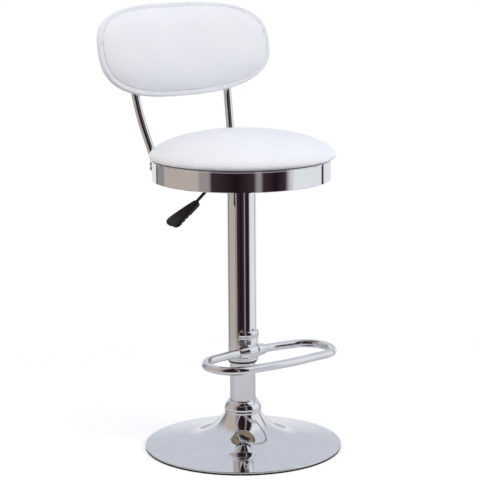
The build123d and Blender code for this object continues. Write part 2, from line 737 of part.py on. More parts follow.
def drum(radius, depth):
    """Upright drum behind the sitter whose wall passes through a depth of the pad."""
    return Pos(0, 0, radius + depth) * Rot(90, 0, 0) * Cylinder(radius, 2 * BACK_H)


def curved_slab(inset, low, high, face_r=BACK_PLAN_R):
    """Pad-shaped slab between two depths; its front may be flatter than its rear."""
    face_r = face_r - high if face_r == BACK_PLAN_R else face_r
    blank = extrude(oval(inset), 80.0, both=True)
    return (blank & (drum(BACK_PLAN_R - low, low) - drum(face_r, high))).solids()[0]


def back_board():
    return drill_back(back_plane() * curved_slab(BACK_BORDER_T, -BACK_BOARD_T, 0))


def crowned_slab(inset, low, high, round_r):
    """Slab with a flatter front whose edge is rounded."""
    slab = curved_slab(inset, low, high, BACK_FACE_R)
    rim = [edge for edge in slab.edges() if edge.length > BACK_H]
    return fillet([max(rim, key=lambda edge: (edge @ 0.25).Z)], round_r)


def back_foam():
    return back_plane() * crowned_slab(BACK_BORDER + COVER_T, 0, BACK_FOAM_T, BACK_FOAM_ROUND)


def back_front_cover():
    outer = crowned_slab(BACK_BORDER, 0, BACK_FOAM_T + COVER_T, BACK_FOAM_ROUND + COVER_T)
    inner = crowned_slab(BACK_BORDER + COVER_T, -1.0, BACK_FOAM_T, BACK_FOAM_ROUND)
    return back_plane() * (outer - inner)


def back_border():
    """Stitched border that wraps the board's edge."""
    slab = curved_slab(0, -BACK_BOARD_T, BACK_BORDER_T)
    hollow = curved_slab(BACK_BORDER_T, -BACK_BOARD_T - 1, 0)
    window = curved_slab(BACK_BORDER + 0.1, -BACK_BOARD_T - 1, BACK_BORDER_T + 1)
    return back_plane() * (slab - hollow - window)


def back_rear_cover():
    cover = curved_slab(1.5, -BACK_BOARD_T - BACK_REAR_T, -BACK_BOARD_T)
    return drill_back(back_plane() * cover)


def back_screw_lines():
    """Start points and directions of the four screws through the posts into the pad."""
    lean = radians(BACK_LEAN)
    forward = Vector(0, -cos(lean), sin(lean))
    lines = []
    for side in (-1, 1):
        path = post_path(side)
        for t in POST_SCREWS:
            lines.append((path @ t - forward * TUBE_R, forward))
    return lines


def drill_back(shape):
    for start, way in back_screw_lines():
        shape -= Plane(origin=start, z_dir=way) * Cylinder(SMALL_BOLT_R, 70.0)
    return shape


def back_screws():
    screws = []
    for start, way in back_screw_lines():
        seat = Plane(origin=start - way * 0.3, z_dir=way)
        shank = seat * Cylinder(SMALL_BOLT_R, 2 * TUBE_R + 9.0, align=STANDING)
        head = seat * Cylinder(4.5, 3.0, align=HANGING)
        screws.append(shank + head)
    return Compound(screws)


def drilled_post(side):
    """A post with the holes for its two bolts and its two screws."""
    post = drill_back(back_post(side))
    foot, outward = post_foot(side)
    for z in POST_BOLT_Z:
        post -= Plane(origin=foot + Vector(0, 0, z), z_dir=outward) * Cylinder(SMALL_BOLT_R, 40.0)
    return post


parts = {
    "base_bell": base_bell(),
    "base_dish": base_dish(),
    "base_foot_ring": base_foot_ring(),
    "base_plate": base_plate(),
    "base_weight": base_weight(),
    "flange_bolts": flange_bolts(),
    "stand_flange": stand_flange(),
    "stand_tube": stand_tube(),
    "base_collar": base_collar(),
    "thrust_seat": thrust_seat(),
    "guide_bush": guide_bush(),
    "bearing_lower_race": bearing_lower_race(),
    "bearing_cage": bearing_cage(),
    "bearing_balls": bearing_balls(),
    "bearing_upper_race": bearing_upper_race(),
    "rod_collar": rod_collar(),
    "rod_clip": rod_clip(),
    "piston_rod": piston_rod(),
    "rod_bumper": rod_bumper(),
    "piston": piston(),
    "piston_seal": piston_seal(),
    "pressure_tube": pressure_tube(),
    "rod_gland": rod_gland(),
    "valve_body": valve_body(),
    "release_pin": release_pin(),
    "outer_tube": outer_tube(),
    "tube_guide_ring": tube_guide_ring(),
    "footrest_loop": footrest_loop(),
    "footrest_bracket": footrest_bracket(),
    "seat_plate": seat_plate(),
    "seat_hub": seat_hub(),
    "plate_bolts": plate_bolts(),
    "plate_nuts": plate_nuts(),
    "lever_pivot_pin": lever_pivot_pin(),
    "lever_rod": lever_rod(),
    "lever_grip": lever_grip(),
    "seat_ring": seat_ring(),
    "ring_clips": ring_clips(),
    "clip_screws": clip_screws(),
    "seat_board": seat_board(),
    "seat_foam": seat_foam(),
    "seat_cover": seat_cover(),
    "back_post_left": drilled_post(1),
    "back_post_right": drilled_post(-1),
    "post_caps": post_caps(),
    "post_bolts": post_bolts(),
    "post_nut_plates": post_nut_plates(),
    "back_board": back_board(),
    "back_foam": back_foam(),
    "back_front_cover": back_front_cover(),
    "back_border": back_border(),
    "back_rear_cover": back_rear_cover(),
    "back_screws": back_screws(),
}

os.makedirs("parts", exist_ok=True)
for name, shape in parts.items():
    export_step(shape, f"parts/{name}.step")
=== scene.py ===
import json
import math
import random

import bmesh
import bpy
import numpy as np
from mathutils import Matrix, Vector


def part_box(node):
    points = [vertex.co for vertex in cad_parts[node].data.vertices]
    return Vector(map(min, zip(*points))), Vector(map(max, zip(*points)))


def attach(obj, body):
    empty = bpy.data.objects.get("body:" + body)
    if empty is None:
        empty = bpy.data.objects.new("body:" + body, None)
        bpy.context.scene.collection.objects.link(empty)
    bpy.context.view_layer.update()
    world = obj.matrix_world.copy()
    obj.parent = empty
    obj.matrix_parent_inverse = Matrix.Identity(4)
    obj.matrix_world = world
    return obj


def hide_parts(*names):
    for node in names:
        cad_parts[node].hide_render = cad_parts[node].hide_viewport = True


# Looks of the adjustable swivel stool. Metres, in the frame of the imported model:
# origin on the floor under the column, +Z up, the seat faces -Y.
#
# Each CAD node takes the material of its slot. The two pads, the lever's grip, the base's skin and the
# footrest's saddle are replaced by softer or finer shapes that are built here.

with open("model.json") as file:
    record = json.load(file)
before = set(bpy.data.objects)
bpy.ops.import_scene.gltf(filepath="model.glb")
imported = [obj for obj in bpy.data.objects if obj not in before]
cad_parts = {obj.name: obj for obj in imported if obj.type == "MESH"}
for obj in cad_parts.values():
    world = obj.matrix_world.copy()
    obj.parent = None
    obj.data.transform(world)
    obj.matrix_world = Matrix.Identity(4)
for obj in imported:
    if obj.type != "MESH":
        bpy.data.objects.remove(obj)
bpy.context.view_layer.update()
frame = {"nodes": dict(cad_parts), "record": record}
nodes = frame["nodes"]

MM = 0.001
RANDOM = random.Random(7)

# ---- places read from the frame ----
SEAT_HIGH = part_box("seat_cover")[1]
BAND_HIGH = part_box("seat_ring")[1]
BORDER_LOW, BORDER_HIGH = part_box("back_border")
GRIP_LOW, GRIP_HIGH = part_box("lever_grip")

# ---- cloth swelling of the pads; WRINKLE is the share of the fine wrinkles that stays ----
PAD_MESH = 4.5 * MM
SWELL_FRAMES = 20
EVENING_PASSES = 40
WRINKLE = 0.10

# ---- seat cushion: widest at SEAT_WIDE_Z, and built up by DOME within DOME_R of its middle ----
SEAT_R = SEAT_HIGH[0]
SEAT_TOP = SEAT_HIGH[2]
SEAT_WIDE_Z = SEAT_TOP - 37 * MM
SEAT_POWER = 2.8
SEAT_SHRINK = 2.5 * MM
TUCK_R = BAND_HIGH[0] - 1.2 * MM
POST_LOOK_Z = (0.566, 0.600)
POST_GAP = 8.9 * MM
POST_PUSH = 1.2
GATHERS = ((37, 0.4, 0.22), (53, 1.9, 0.16), (23, 2.7, 0.2))
HOLLOWS = ((-0.42, 0.80, 0.10, 0.9), (-0.62, 0.93, 0.07, 0.7))
OVERHANG = 0.006
PULL_LEFT = 2.0 * MM
PULL_FRONT = 1.5 * MM
DOME = 11 * MM
DOME_R = 155 * MM

# ---- back pad: an oval that leans back and curves round the sitter ----
PAD_LEAN = math.radians(14)
PAD_CENTRE = Vector((0, 0.203, 0.7685))
PAD_W = BORDER_HIGH[0] - BORDER_LOW[0] + 6 * MM
PAD_H = 186 * MM
PAD_POWER = 2.75
PAD_PLAN_R = 0.735
PAD_RIM = 7.6 * MM
PAD_BOARD = 9 * MM
PAD_PUFF = 19.5 * MM
PAD_SEAM_HEIGHT = 2.9 * MM


# ------------------------------------------------------------------ mesh helpers

def link(name, mesh):
    """A new object in the scene for a mesh."""
    piece = bpy.data.objects.new(name, mesh)
    bpy.context.scene.collection.objects.link(piece)
    return piece


def smooth(piece):
    """Shades every face smooth."""
    piece.data.polygons.foreach_set("use_smooth", [True] * len(piece.data.polygons))
    return piece


def grid_object(name, rows, closed_across=True, closed_along=False, cap_ends=False):
    """A quad mesh through rows of points. Each row may close on itself, and the rows into a loop."""
    count = len(rows[0])
    verts = [tuple(p) for row in rows for p in row]
    faces = []
    row_pairs = len(rows) if closed_along else len(rows) - 1
    col_pairs = count if closed_across else count - 1
    for i in range(row_pairs):
        a, b = i * count, ((i + 1) % len(rows)) * count
        for j in range(col_pairs):
            k = (j + 1) % count
            faces.append((a + j, a + k, b + k, b + j))
    if cap_ends:
        faces.append(tuple(range(count))[::-1])
        faces.append(tuple((len(rows) - 1) * count + j for j in range(count)))
    mesh = bpy.data.meshes.new(name)
    mesh.from_pydata(verts, [], faces)
    mesh.update()
    bm = bmesh.new()
    bm.from_mesh(mesh)
    bmesh.ops.recalc_face_normals(bm, faces=bm.faces)
    bm.to_mesh(mesh)
    bm.free()
    return smooth(link(name, mesh))


def activate(piece):
    """Makes a piece the only selected and active object."""
    for other in bpy.context.selected_objects:
        other.select_set(False)
    piece.select_set(True)
    bpy.context.view_layer.objects.active = piece


def apply_modifiers(piece):
    """Turns the piece's modifiers into plain mesh."""
    activate(piece)
    for modifier in list(piece.modifiers):
        bpy.ops.object.modifier_apply(modifier=modifier.name)


def points_of(piece):
    """The mesh's vertices as an array."""
    flat = np.empty(len(piece.data.vertices) * 3)
    piece.data.vertices.foreach_get("co", flat)
    return flat.reshape(-1, 3)


def set_points(piece, points):
    """Writes an array back to the mesh's vertices."""
    piece.data.vertices.foreach_set("co", points.reshape(-1))
    piece.data.update()


def remesh(piece, size):
    """Even voxel mesh, relaxed so that no steps are left."""
    piece.data.remesh_voxel_size = size
    activate(piece)
    bpy.ops.object.voxel_remesh()
    relax = piece.modifiers.new("relax", "SMOOTH")
    relax.factor = 0.5
    relax.iterations = 6
    apply_modifiers(piece)
    return smooth(piece)


def evened(values, piece, passes):
    """Averages a value at every vertex with its neighbours, several times over."""
    pairs = np.empty(len(piece.data.edges) * 2, dtype=np.int32)
    piece.data.edges.foreach_get("vertices", pairs)
    a, b = pairs.reshape(-1, 2).T
    count = np.bincount(np.concatenate([a, b]), minlength=len(values))[:, None] + 1
    for _ in range(passes):
        total = values.copy()
        np.add.at(total, a, values[b])
        np.add.at(total, b, values[a])
        values = total / count
    return values


def swell(piece, pressure, cap, held=None):
    """Puffs a closed pad by cloth simulation. No point moves past cap, and held picks the pinned ones."""
    rest = points_of(piece)
    cloth = piece.modifiers.new("swell", "CLOTH")
    settings = cloth.settings
    settings.quality = 6
    settings.mass = 0.25
    settings.tension_stiffness = 12
    settings.compression_stiffness = 12
    settings.shear_stiffness = 6
    settings.bending_stiffness = 1.2
    settings.air_damping = 2
    settings.use_pressure = True
    settings.uniform_pressure_force = pressure
    settings.effector_weights.gravity = 0
    if held is not None:
        group = piece.vertex_groups.new(name="held")
        group.add([int(i) for i in np.nonzero(held(rest))[0]], 1.0, "REPLACE")
        settings.vertex_group_mass = "held"
    scene = bpy.context.scene
    for step in range(1, SWELL_FRAMES + 1):
        scene.frame_set(step)
    evaluated = piece.evaluated_get(bpy.context.evaluated_depsgraph_get())
    moved = np.empty(len(rest) * 3)
    evaluated.data.vertices.foreach_get("co", moved)
    shift = moved.reshape(-1, 3) - rest
    length = np.linalg.norm(shift, axis=1, keepdims=True)
    shift *= np.minimum(1.0, cap / np.maximum(length, 1e-9))
    # the cover lies taut over firm foam, so only a trace of the finest wrinkles stays
    broad = evened(shift, piece, EVENING_PASSES)
    shift = broad + WRINKLE * (shift - broad)
    piece.modifiers.remove(cloth)
    scene.frame_set(1)
    piece.vertex_groups.clear()
    set_points(piece, rest + shift)
    return piece


def subdivide(piece, levels=1):
    """Smooth subdivision, applied."""
    sub = piece.modifiers.new("fine", "SUBSURF")
    sub.levels = levels
    sub.render_levels = levels
    apply_modifiers(piece)
    return smooth(piece)


def centre_at(node, height):
    """Middle of a CAD tube where it crosses a height."""
    mesh = nodes[node].data
    crossings = []
    for edge in mesh.edges:
        a, b = (mesh.vertices[i].co for i in edge.vertices)
        if (a.z - height) * (b.z - height) < 0:
            crossings.append(a.lerp(b, (height - a.z) / (b.z - a.z)))
    return np.array(sum(crossings, Vector()) / len(crossings))


# ------------------------------------------------------------------ materials

# the range that most of a noise value falls in
NOISE_LOW = 0.3
NOISE_HIGH = 0.7


def material(name, color, roughness, metallic=0.0, specular=0.5):
    """A new node material with its main shader's plain values set."""
    mat = bpy.data.materials.new(name)
    mat.use_nodes = True
    shader = mat.node_tree.nodes["Principled BSDF"]
    shader.inputs["Base Color"].default_value = (*color, 1)
    shader.inputs["Roughness"].default_value = roughness
    shader.inputs["Metallic"].default_value = metallic
    shader.inputs["Specular IOR Level"].default_value = specular
    return mat


def add_node(mat, kind, **values):
    """A node in a material, with its inputs set by name."""
    node = mat.node_tree.nodes.new(kind)
    for key, value in values.items():
        node.inputs[key.replace("_", " ")].default_value = value
    return node


def place(mat, stretch=(1, 1, 1)):
    """Object coordinates, stretched."""
    coords = mat.node_tree.nodes.new("ShaderNodeTexCoord")
    mapping = mat.node_tree.nodes.new("ShaderNodeMapping")
    mapping.inputs["Scale"].default_value = stretch
    mat.node_tree.links.new(coords.outputs["Object"], mapping.inputs["Vector"])
    return mapping.outputs["Vector"]


def noise(mat, scale, detail=3.0, stretch=(1, 1, 1), roughness=0.5):
    """Cloudy noise, from 0 to 1."""
    node = add_node(mat, "ShaderNodeTexNoise", Scale=scale, Detail=detail, Roughness=roughness)
    mat.node_tree.links.new(place(mat, stretch), node.inputs["Vector"])
    return node.outputs["Fac"]


def cells(mat, scale):
    """Distance to the nearest of many scattered points: a pebbled or open-celled pattern."""
    node = add_node(mat, "ShaderNodeTexVoronoi", Scale=scale)
    mat.node_tree.links.new(place(mat), node.inputs["Vector"])
    return node.outputs["Distance"]


def vary_roughness(mat, value, low, high):
    """Roughness that wanders with a noise value."""
    node = add_node(mat, "ShaderNodeMapRange",
                    From_Min=NOISE_LOW, From_Max=NOISE_HIGH, To_Min=low, To_Max=high)
    mat.node_tree.links.new(value, node.inputs["Value"])
    shader = mat.node_tree.nodes["Principled BSDF"]
    mat.node_tree.links.new(node.outputs["Result"], shader.inputs["Roughness"])


def tint(mat, value, dark, light):
    """Base colour that wanders between two colours."""
    ramp = mat.node_tree.nodes.new("ShaderNodeValToRGB")
    ramp.color_ramp.elements[0].position = NOISE_LOW
    ramp.color_ramp.elements[1].position = NOISE_HIGH
    ramp.color_ramp.elements[0].color = (*dark, 1)
    ramp.color_ramp.elements[1].color = (*light, 1)
    mat.node_tree.links.new(value, ramp.inputs["Fac"])
    shader = mat.node_tree.nodes["Principled BSDF"]
    mat.node_tree.links.new(ramp.outputs["Color"], shader.inputs["Base Color"])


def relief(mat, *layers):
    """Bumps, one over another: each layer is (height value, strength, depth in metres)."""
    shader = mat.node_tree.nodes["Principled BSDF"]
    normal = None
    for height, strength, depth in layers:
        bump = add_node(mat, "ShaderNodeBump", Strength=strength, Distance=depth)
        mat.node_tree.links.new(height, bump.inputs["Height"])
        if normal is not None:
            mat.node_tree.links.new(normal, bump.inputs["Normal"])
        normal = bump.outputs["Normal"]
    mat.node_tree.links.new(normal, shader.inputs["Normal"])


def chrome(name, rough=0.035, stretch=(1, 1, 1), wave=0.03):
    """Mirror chrome with faint smudges and the slight waviness of a plated part."""
    mat = material(name, (0.86, 0.865, 0.875), rough, metallic=1.0)
    smudge = noise(mat, 38, detail=6, stretch=stretch, roughness=0.62)
    tint(mat, smudge, (0.83, 0.835, 0.85), (0.90, 0.905, 0.915))
    vary_roughness(mat, smudge, rough * 0.6, rough * 1.9)
    relief(mat, (noise(mat, 16, detail=1, stretch=stretch), wave, 0.4 * MM))
    return mat


def vinyl(name, dark, light, rough=0.42):
    """Upholstery vinyl: pebbled grain over fine pores, with a soft sheen."""
    mat = material(name, light, rough, specular=0.45)
    tint(mat, noise(mat, 14, detail=4), dark, light)
    vary_roughness(mat, noise(mat, 60, detail=4), rough - 0.06, rough + 0.08)
    shader = mat.node_tree.nodes["Principled BSDF"]
    shader.inputs["Coat Weight"].default_value = 0.12
    shader.inputs["Coat Roughness"].default_value = 0.35
    relief(mat, (cells(mat, 900), 0.16, 0.12 * MM), (noise(mat, 2600, detail=2), 0.10, 0.05 * MM),
           (noise(mat, 45, detail=2), 0.10, 0.5 * MM))
    return mat


def plastic(name, color, rough, grain=1500):
    """Moulded plastic with a fine spark-eroded texture."""
    mat = material(name, color, rough, specular=0.45)
    tint(mat, noise(mat, 90, detail=3), tuple(c * 0.85 for c in color), tuple(c * 1.25 for c in color))
    vary_roughness(mat, noise(mat, 160, detail=5), rough - 0.06, rough + 0.10)
    relief(mat, (noise(mat, grain, detail=2), 0.10, 0.03 * MM))
    return mat


def rubber(name):
    """Matt black rubber."""
    mat = material(name, (0.022, 0.022, 0.023), 0.72, specular=0.3)
    tint(mat, noise(mat, 120, detail=4), (0.015, 0.015, 0.016), (0.032, 0.032, 0.033))
    vary_roughness(mat, noise(mat, 200, detail=3), 0.64, 0.82)
    relief(mat, (noise(mat, 900, detail=3), 0.25, 0.1 * MM))
    return mat


def steel(name, color, rough, stretch=(1, 1, 30)):
    """Ground or drawn steel with fine lines."""
    mat = material(name, color, rough, metallic=1.0)
    lines = noise(mat, 300, detail=4, stretch=stretch)
    tint(mat, lines, tuple(c * 0.85 for c in color), tuple(min(1, c * 1.1) for c in color))
    vary_roughness(mat, lines, rough - 0.08, rough + 0.12)
    relief(mat, (lines, 0.12, 0.03 * MM))
    return mat


def powder_coat(name, color, rough=0.5):
    """Sprayed coating with a slight orange peel."""
    mat = material(name, color, rough, specular=0.5)
    tint(mat, noise(mat, 70, detail=3), tuple(c * 0.8 for c in color), tuple(c * 1.3 for c in color))
    vary_roughness(mat, noise(mat, 240, detail=2), rough - 0.08, rough + 0.1)
    relief(mat, (noise(mat, 700, detail=1), 0.3, 0.08 * MM))
    return mat


def cast_iron(name):
    """Rough grey casting."""
    mat = material(name, (0.09, 0.09, 0.095), 0.75, metallic=0.6)
    tint(mat, noise(mat, 60, detail=6), (0.06, 0.058, 0.056), (0.13, 0.125, 0.12))
    vary_roughness(mat, noise(mat, 130, detail=5), 0.62, 0.9)
    relief(mat, (noise(mat, 260, detail=5), 0.6, 0.3 * MM))
    return mat


def plywood(name):
    """Birch ply: long grain with darker veins."""
    mat = material(name, (0.62, 0.46, 0.29), 0.6, specular=0.3)
    grain = noise(mat, 22, detail=8, stretch=(1, 14, 14), roughness=0.65)
    tint(mat, grain, (0.47, 0.33, 0.19), (0.70, 0.55, 0.37))
    vary_roughness(mat, grain, 0.5, 0.72)
    relief(mat, (grain, 0.3, 0.15 * MM))
    return mat


def foam(name):
    """Open-celled yellowish foam."""
    mat = material(name, (0.84, 0.80, 0.62), 0.9, specular=0.1)
    tint(mat, noise(mat, 30, detail=4), (0.78, 0.73, 0.54), (0.88, 0.85, 0.68))
    vary_roughness(mat, noise(mat, 90, detail=2), 0.82, 0.98)
    relief(mat, (cells(mat, 700), 0.8, 0.5 * MM))
    return mat


def thread(name):
    """Twisted sewing thread."""
    mat = material(name, (0.76, 0.77, 0.79), 0.6, specular=0.3)
    tint(mat, noise(mat, 900, detail=2), (0.62, 0.63, 0.65), (0.80, 0.81, 0.83))
    vary_roughness(mat, noise(mat, 800, detail=2), 0.5, 0.7)
    relief(mat, (noise(mat, 2500, detail=1, stretch=(1, 3, 1)), 0.4, 0.1 * MM))
    return mat


MATERIALS = {
    "chrome_plate": chrome("chrome_plate", rough=0.03, wave=0.02),
    "chrome_trim": chrome("chrome_trim", rough=0.035, wave=0.03),
    "chrome_tube": chrome("chrome_tube", rough=0.03, stretch=(1, 1, 0.25), wave=0.012),
    "chrome_band": chrome("chrome_band", rough=0.03, stretch=(1, 1, 0.3), wave=0.02),
    "rubber_black": rubber("rubber_black"),
    "steel_dark": powder_coat("steel_dark", (0.035, 0.035, 0.038)),
    "steel_bright": steel("steel_bright", (0.60, 0.60, 0.62), 0.25),
    "zinc": steel("zinc", (0.66, 0.68, 0.72), 0.34, stretch=(1, 1, 1)),
    "cast_grey": cast_iron("cast_grey"),
    "plastic_black": plastic("plastic_black", (0.020, 0.020, 0.022), 0.46),
    "lever_black": powder_coat("lever_black", (0.018, 0.018, 0.020), 0.38),
    "grip_plastic": plastic("grip_plastic", (0.010, 0.009, 0.013), 0.44, grain=2000),
    "plywood": plywood("plywood"),
    "foam": foam("foam"),
    "vinyl_white": vinyl("vinyl_white", (0.83, 0.85, 0.89), (0.86, 0.88, 0.915)),
    "vinyl_rear": vinyl("vinyl_rear", (0.80, 0.82, 0.86), (0.83, 0.85, 0.885), rough=0.48),
    "thread": thread("thread"),
}


def finish_of(piece, slot_name, look=None):
    """Gives a new piece its material: the one named by look, or else the one for slot_name."""
    piece.data.materials.clear()
    piece.data.materials.append(MATERIALS[look or slot_name])
    return piece


def paint_cad_nodes():
    """Every CAD node takes the material of its slot."""
    for part in frame["record"]["subparts"]:
        piece = nodes[part["node"]]
        if not piece.material_slots:
            continue
        for holder in piece.material_slots:
            holder.material = MATERIALS[part["material_slot"]]


# ------------------------------------------------------------------ seat cushion

def seat_profile(shrink):
    """Radius and height pairs from the middle of the crown, round the bulge, to the tucked edge."""
    outer = SEAT_R - shrink
    rise = SEAT_TOP - SEAT_WIDE_Z - shrink
    pairs = []
    for i in range(1, 41):
        angle = math.pi / 2 * i / 40
        fraction = math.sin(angle) ** 0.8
        height = rise * math.sqrt(max(0.0, 1 - fraction ** SEAT_POWER))
        pairs.append((outer * fraction, SEAT_WIDE_Z + height))
    for i in range(1, 8):
        angle = math.pi / 2 * i / 7
        pairs.append((TUCK_R + (outer - TUCK_R) * math.cos(angle),
                      SEAT_WIDE_Z - (SEAT_WIDE_Z - BAND_HIGH[2] - 0.5 * MM) * math.sin(angle)))
    pairs.append((TUCK_R - 3 * MM, BAND_HIGH[2] - 0.3 * MM))
    return pairs


def turned_rows(pairs, count):
    """Rings of points about the column for a list of (radius, height)."""
    turns = [2 * math.pi * j / count for j in range(count)]
    return [[(r * math.cos(t), r * math.sin(t), z) for t in turns] for r, z in pairs]


def keep_off_posts(points, gap):
    """Dents the cushion where the back posts press past its edge."""
    for node in ("back_post_left", "back_post_right"):
        low = centre_at(node, POST_LOOK_Z[0])
        high = centre_at(node, POST_LOOK_Z[1])
        along = high - low
        t = (points[:, 2] - low[2]) / along[2]
        middle = low + t[:, None] * along
        away = points - middle
        away[:, 2] = 0
        distance = np.linalg.norm(away, axis=1)
        push = np.clip(gap - distance, 0, None)
        inward = -middle / np.linalg.norm(middle[:, :2], axis=1)[:, None]
        inward[:, 2] = 0
        points = points + inward * push[:, None] * POST_PUSH
    return points


def seat_cushion():
    """Crowned round cushion, swollen as cloth, with soft gathers where it tucks into the band."""
    cushion = grid_object("seat_cushion", turned_rows(seat_profile(SEAT_SHRINK), 160), cap_ends=True)
    remesh(cushion, PAD_MESH)
    swell(cushion, pressure=4.0, cap=5 * MM, held=lambda p: p[:, 2] < SEAT_WIDE_Z - 3.0 * MM)
    subdivide(cushion)
    points = points_of(cushion)
    radius = np.hypot(points[:, 0], points[:, 1])
    turn = np.arctan2(points[:, 1], points[:, 0])
    # short gathers low on the side, uneven round the seat: number round it, phase and depth in millimetres
    low_side = np.clip((SEAT_WIDE_Z + 6 * MM - points[:, 2]) / (10 * MM), 0, 1) * (radius > 0.9 * SEAT_R)
    gathers = np.zeros(len(points))
    for waves, phase, depth in GATHERS:
        gathers += depth * MM * np.sin(waves * turn + phase + 1.5 * np.sin(3 * turn))
    points[:, 0] += np.cos(turn) * gathers * low_side
    points[:, 1] += np.sin(turn) * gathers * low_side
    # faint hollows near the front edge, left by sitting: angle, share of the radius, width, millimetres deep
    for hollow_turn, hollow_r, width, depth in HOLLOWS:
        gap_t = (turn - hollow_turn) / width
        gap_r = (radius / SEAT_R - hollow_r) / 0.05
        points[:, 2] -= depth * MM * np.exp(-gap_t ** 2 - gap_r ** 2) * (points[:, 2] > SEAT_WIDE_Z)
    # the cover is pulled a little to the front left, where it overhangs the band most
    rise = np.clip((points[:, 2] - BAND_HIGH[2]) / (4 * MM), 0, 1)
    points[:, :2] *= 1 + OVERHANG * rise[:, None]
    points[:, 0] += PULL_LEFT * rise
    points[:, 1] -= PULL_FRONT * rise
    points = keep_off_posts(points, POST_GAP)
    # the foam is built up under the middle, so the crown peaks there
    peak = np.clip(1 - (radius / DOME_R) ** 2, 0, 1) ** 1.25
    points[:, 2] += DOME * peak * (points[:, 2] > SEAT_WIDE_Z)
    set_points(cushion, points)
    finish_of(cushion, "vinyl_white")
    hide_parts("seat_cover", "seat_foam")
    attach(cushion, "seat")


# ------------------------------------------------------------------ back pad

def pad_point(across, up, depth):
    """A point of the back pad: across its width, up its height, and depth towards the sitter."""
    curve = PAD_PLAN_R - math.sqrt(PAD_PLAN_R ** 2 - across ** 2)
    out = depth + curve
    return PAD_CENTRE + Vector((across,
                                up * math.sin(PAD_LEAN) - out * math.cos(PAD_LEAN),
                                up * math.cos(PAD_LEAN) + out * math.sin(PAD_LEAN)))


def oval(turn, inset):
    """Point of the pad's outline, moved inward."""
    c, s = math.cos(turn), math.sin(turn)
    power = 2 / PAD_POWER
    return (math.copysign(abs(c) ** power, c) * (PAD_W / 2 - inset),
            math.copysign(abs(s) ** power, s) * (PAD_H / 2 - inset))


def even_turns(count, inset):
    """Angles that space points evenly along the outline, and the outline's length."""
    fine = np.linspace(0, 2 * math.pi, 2881)
    line = np.array([oval(t, inset) for t in fine])
    steps = np.hypot(*np.diff(line, axis=0).T)
    length = np.concatenate([[0], np.cumsum(steps)])
    return np.interp(np.linspace(0, length[-1], count, endpoint=False), length, fine), length[-1]


def back_crown():
    """The puffed front panel, sewn down along the border's inner line."""
    turns, _ = even_turns(220, PAD_RIM)
    rows = []
    for i in range(1, 31):
        fraction = math.sin(math.pi / 2 * i / 30) ** 0.85
        height = PAD_PUFF * (1 - fraction ** 5.0) ** 0.95 + PAD_SEAM_HEIGHT
        row = []
        for t in turns:
            across, up = oval(t, PAD_RIM - 0.5 * MM)
            row.append(pad_point(across * fraction, up * fraction, height))
        rows.append(row)
    rows.append([pad_point(*oval(t, PAD_RIM - 0.2 * MM), 0.5 * MM) for t in turns])
    rows.append([pad_point(*oval(t, PAD_RIM + 6 * MM), -1 * MM) for t in turns])
    crown = grid_object("back_crown", rows, cap_ends=True)
    remesh(crown, PAD_MESH)
    centre = np.array(PAD_CENTRE)
    toward = np.array([0, -math.cos(PAD_LEAN), math.sin(PAD_LEAN)])

    def rear_part(points):
        curve = PAD_PLAN_R - np.sqrt(PAD_PLAN_R ** 2 - points[:, 0] ** 2)
        return (points - centre) @ toward - curve < 3.5 * MM

    swell(crown, pressure=4.5, cap=6 * MM, held=rear_part)
    subdivide(crown)
    finish_of(crown, "vinyl_white")
    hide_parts("back_front_cover", "back_foam")
    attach(crown, "seat")


RIM_SECTION = (
    # inset from the outline and depth, in millimetres, from the seam round the edge to the rear
    (10.6, 0.5), (8.9, 2.8), (7.4, 3.4), (6.5, 3.4), (5.5, 3.0), (4.6, 2.8), (3.6, 2.9), (2.4, 2.7),
    (1.3, 1.9), (0.5, 0.4), (0.0, -2.2), (0.1, -5.0), (0.8, -7.6), (2.4, -9.4), (4.4, -9.9), (6.0, -9.0),
    (8.0, -4.0),
)
PUCKERED = range(3, 9)
NOTCHED = range(9, 13)
STITCH_INSET = 4.6 * MM
STITCH_DEPTH = 2.95 * MM
STITCH_PITCH = 5.8 * MM
STITCH_LENGTH = 3.6 * MM
THREAD_R = 0.42 * MM


def back_rim():
    """Rolled border all round the pad, puckered a little between its stitches."""
    turns, length = even_turns(1600, 0)
    rows = []
    for t_index, t in enumerate(turns):
        beat = 2 * math.pi * t_index / len(turns) * round(length / STITCH_PITCH)
        row = []
        for index, (inset, depth) in enumerate(RIM_SECTION):
            pucker = 0.28 * MM * math.sin(beat) if index in PUCKERED else 0.0
            notch = 0.25 * MM * math.sin(beat) if index in NOTCHED else 0.0
            row.append(pad_point(*oval(t, inset * MM + notch), depth * MM + pucker))
        rows.append(row)
    rim = grid_object("back_rim", rows, closed_along=True)
    finish_of(rim, "vinyl_white")
    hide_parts("back_border")
    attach(rim, "seat")


def back_rear_panel():
    """Flat rear panel with a soft edge, slightly fuller in its middle."""
    turns, _ = even_turns(240, 4 * MM)
    rows = []
    for i in range(1, 25):
        fraction = i / 24
        full = 1.2 * MM * (1 - fraction ** 3)
        rows.append([pad_point(*[c * fraction for c in oval(t, 4 * MM)], -PAD_BOARD - 0.8 * MM - full)
                     for t in turns])
    rows.append([pad_point(*oval(t, 3.4 * MM), -PAD_BOARD - 0.2 * MM) for t in turns])
    rows.append([pad_point(*oval(t, 5.0 * MM), -PAD_BOARD + 0.6 * MM) for t in turns])
    panel = grid_object("back_rear_panel", rows, cap_ends=True)
    finish_of(panel, "vinyl_rear")
    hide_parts("back_rear_cover")
    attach(panel, "seat")


def stitch_point(turn):
    """A point of the seam that the stitches follow."""
    return pad_point(*oval(turn, STITCH_INSET), STITCH_DEPTH)


